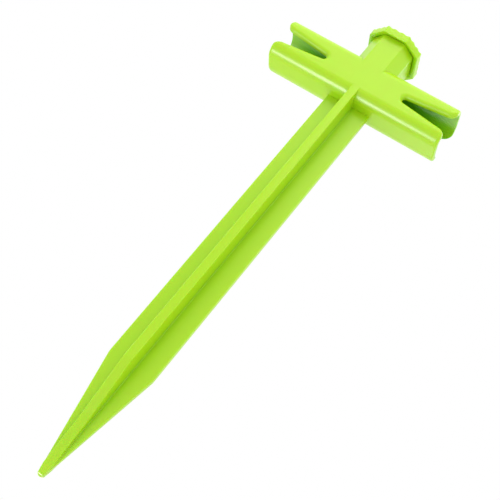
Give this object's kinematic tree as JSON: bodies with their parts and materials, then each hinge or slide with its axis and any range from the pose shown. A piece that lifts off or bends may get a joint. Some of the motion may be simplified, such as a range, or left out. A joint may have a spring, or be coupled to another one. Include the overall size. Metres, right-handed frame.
{
  "type": "tent stake",
  "caption": "Moulded plastic tent stake with a cross-section shank, a hollow T crossbar with a V rope slot in each end, and an eight-sided post with a strike cap.",
  "frame": {"origin": "the tip of the point, on the mid-plane of the blade", "axes": "+Z from the tip up the shank to the strike cap, +X along the crossbar, front face looks along -Y"},
  "size_m": [0.1076, 0.034, 0.3],
  "materials": {
    "lime_plastic": "semi-gloss moulded"
  },
  "bodies": {
    "root": {"blade": "lime_plastic", "front_rib": "lime_plastic", "back_rib": "lime_plastic", "crossbar_hub": "lime_plastic", "left_grip": "lime_plastic", "right_grip": "lime_plastic", "hammer_post": "lime_plastic", "strike_cap": "lime_plastic"}
  },
  "joints": []
}
